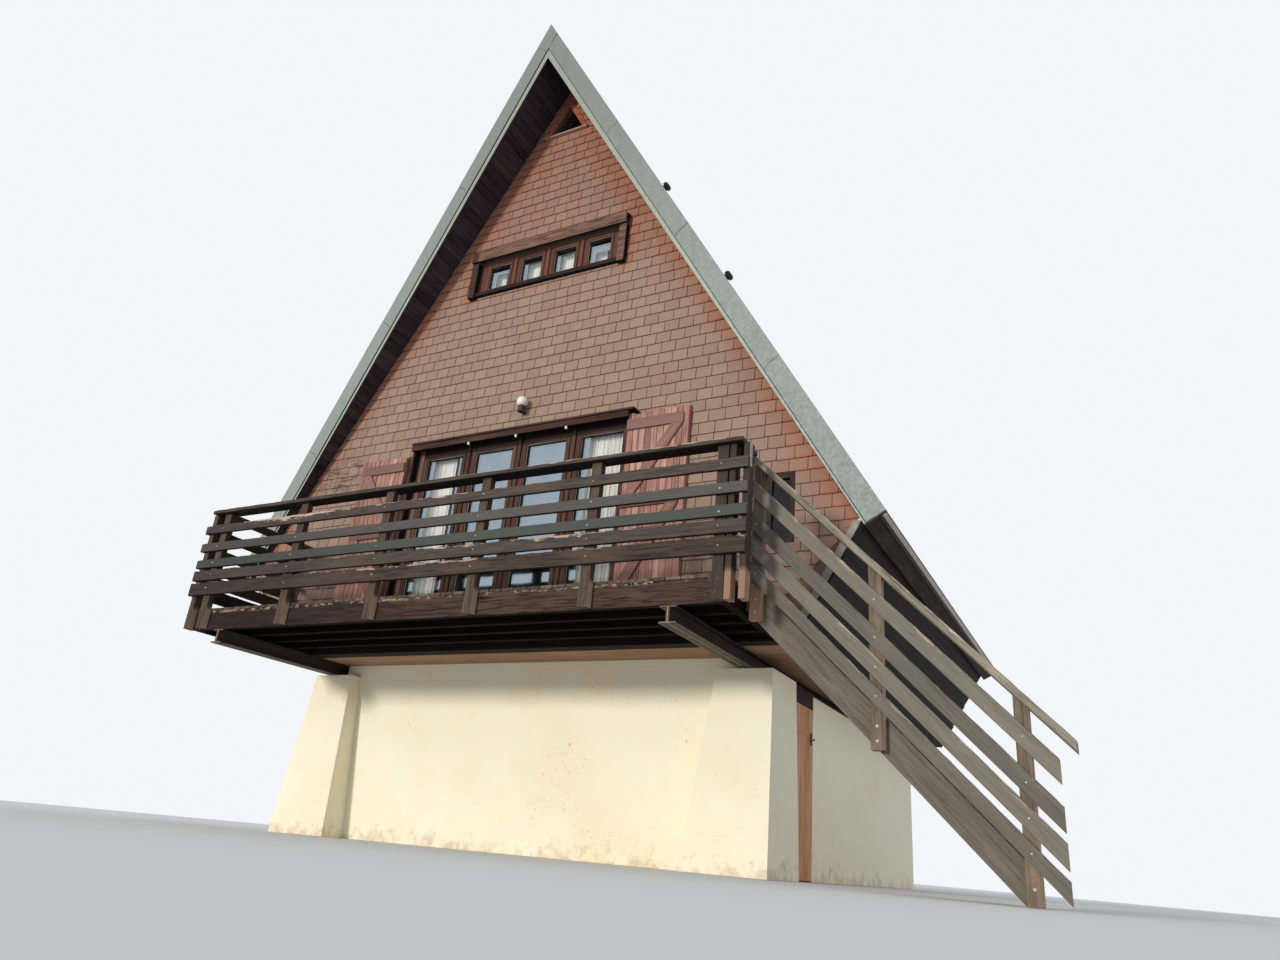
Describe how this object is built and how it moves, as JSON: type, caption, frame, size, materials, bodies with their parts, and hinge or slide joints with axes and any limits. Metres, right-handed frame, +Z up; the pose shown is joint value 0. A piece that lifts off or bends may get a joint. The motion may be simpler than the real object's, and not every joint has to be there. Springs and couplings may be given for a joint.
{
  "type": "a-frame cabin",
  "caption": "Steep-roofed timber cabin on a rendered basement, with a shingled gable, a railed deck carried on steel beams, a side stair and a hinged basement door",
  "frame": {"origin": "on the underside of the basement floor, midway between the front and back wall faces", "axes": "+X right along the front, +Y back from the front, +Z up"},
  "size_m": [8.4977, 7.6613, 9],
  "materials": {
    "roof_cover": "weathered shingles",
    "verge_metal": "satin grey-green sheet",
    "pale_metal": "weathered sheet",
    "vent_plastic": "matte",
    "dark_boards": "dark stained boards",
    "shingled_wall": "weathered shingles",
    "main_floor_wood": "pale boards",
    "loft_floor_wood": "boards",
    "window_wood": "brown stain",
    "window_box_wood": "brown stain",
    "small_window_wood": "dark stain",
    "window_glass": "clear",
    "vent_trim_wood": "orange-brown stain",
    "curtain_cloth": "thin woven cloth",
    "shutter_wood": "faded red-brown stain",
    "lamp_base": "matte",
    "lamp_glass": "gloss",
    "render": "lime render",
    "floor_concrete": "bare concrete",
    "lintel_wood": "dark stain",
    "door_wood": "orange-brown stain",
    "door_iron": "black",
    "beam_steel": "brown paint",
    "deck_frame_wood": "dark stain",
    "deck_board_wood": "weathered",
    "rail_post_wood": "weathered",
    "rail_board_wood": "peeling dark stain",
    "rail_cap_wood": "peeling dark stain",
    "stair_side_wood": "grey-green stain",
    "stair_tread_wood": "weathered",
    "stair_post_wood": "weathered",
    "stair_cap_wood": "weathered"
  },
  "bodies": {
    "house": {"roof_left": "roof_cover", "roof_right": "roof_cover", "ridge_cap": "verge_metal", "front_band_left": "verge_metal", "front_band_right": "verge_metal", "back_band_left": "verge_metal", "back_band_right": "verge_metal", "eave_strips": "pale_metal", "corner_strips": "pale_metal", "roof_vents": "vent_plastic", "skirt_left": "dark_boards", "skirt_right": "dark_boards", "front_wall": "shingled_wall", "back_wall": "shingled_wall", "main_floor": "main_floor_wood", "loft_floor": "loft_floor_wood", "tall_window_frame": "window_wood", "loft_window_frame": "window_wood", "back_window_frames": "window_wood", "tall_window_box": "window_box_wood", "loft_window_box": "window_box_wood", "small_window_frame": "small_window_wood", "front_window_glass": "window_glass", "back_window_glass": "window_glass", "gable_vent_trim": "vent_trim_wood", "curtains": "curtain_cloth", "shutter_left": "shutter_wood", "shutter_right": "shutter_wood", "wall_lamp": "lamp_base", "lamp_globes": "lamp_glass", "basement_front_wall": "render", "basement_left_wall": "render", "basement_right_wall": "render", "basement_back_wall": "render", "pier_left": "render", "pier_right": "render", "basement_floor": "floor_concrete", "basement_lintel": "lintel_wood", "door_pintles": "door_iron", "beam_left": "beam_steel", "beam_right": "beam_steel", "deck_frame": "deck_frame_wood", "deck_boards": "deck_board_wood", "rail_posts": "rail_post_wood", "rail_boards": "rail_board_wood", "left_rail_boards": "rail_board_wood", "rail_cap": "rail_cap_wood", "stair_sides": "stair_side_wood", "stair_rail_boards": "stair_side_wood", "stair_treads": "stair_tread_wood", "stair_posts": "stair_post_wood", "stair_cap": "stair_cap_wood"},
    "door": {"basement_door": "door_wood", "door_ironwork": "door_iron"}
  },
  "joints": [
    {"name": "basement_door_hinge", "type": "hinge", "parent": "house", "child": "door", "pos_m": [2.531, -1.913, 0.75], "axis": [0, 0, -1], "range_deg": [0, 95]}
  ]
}
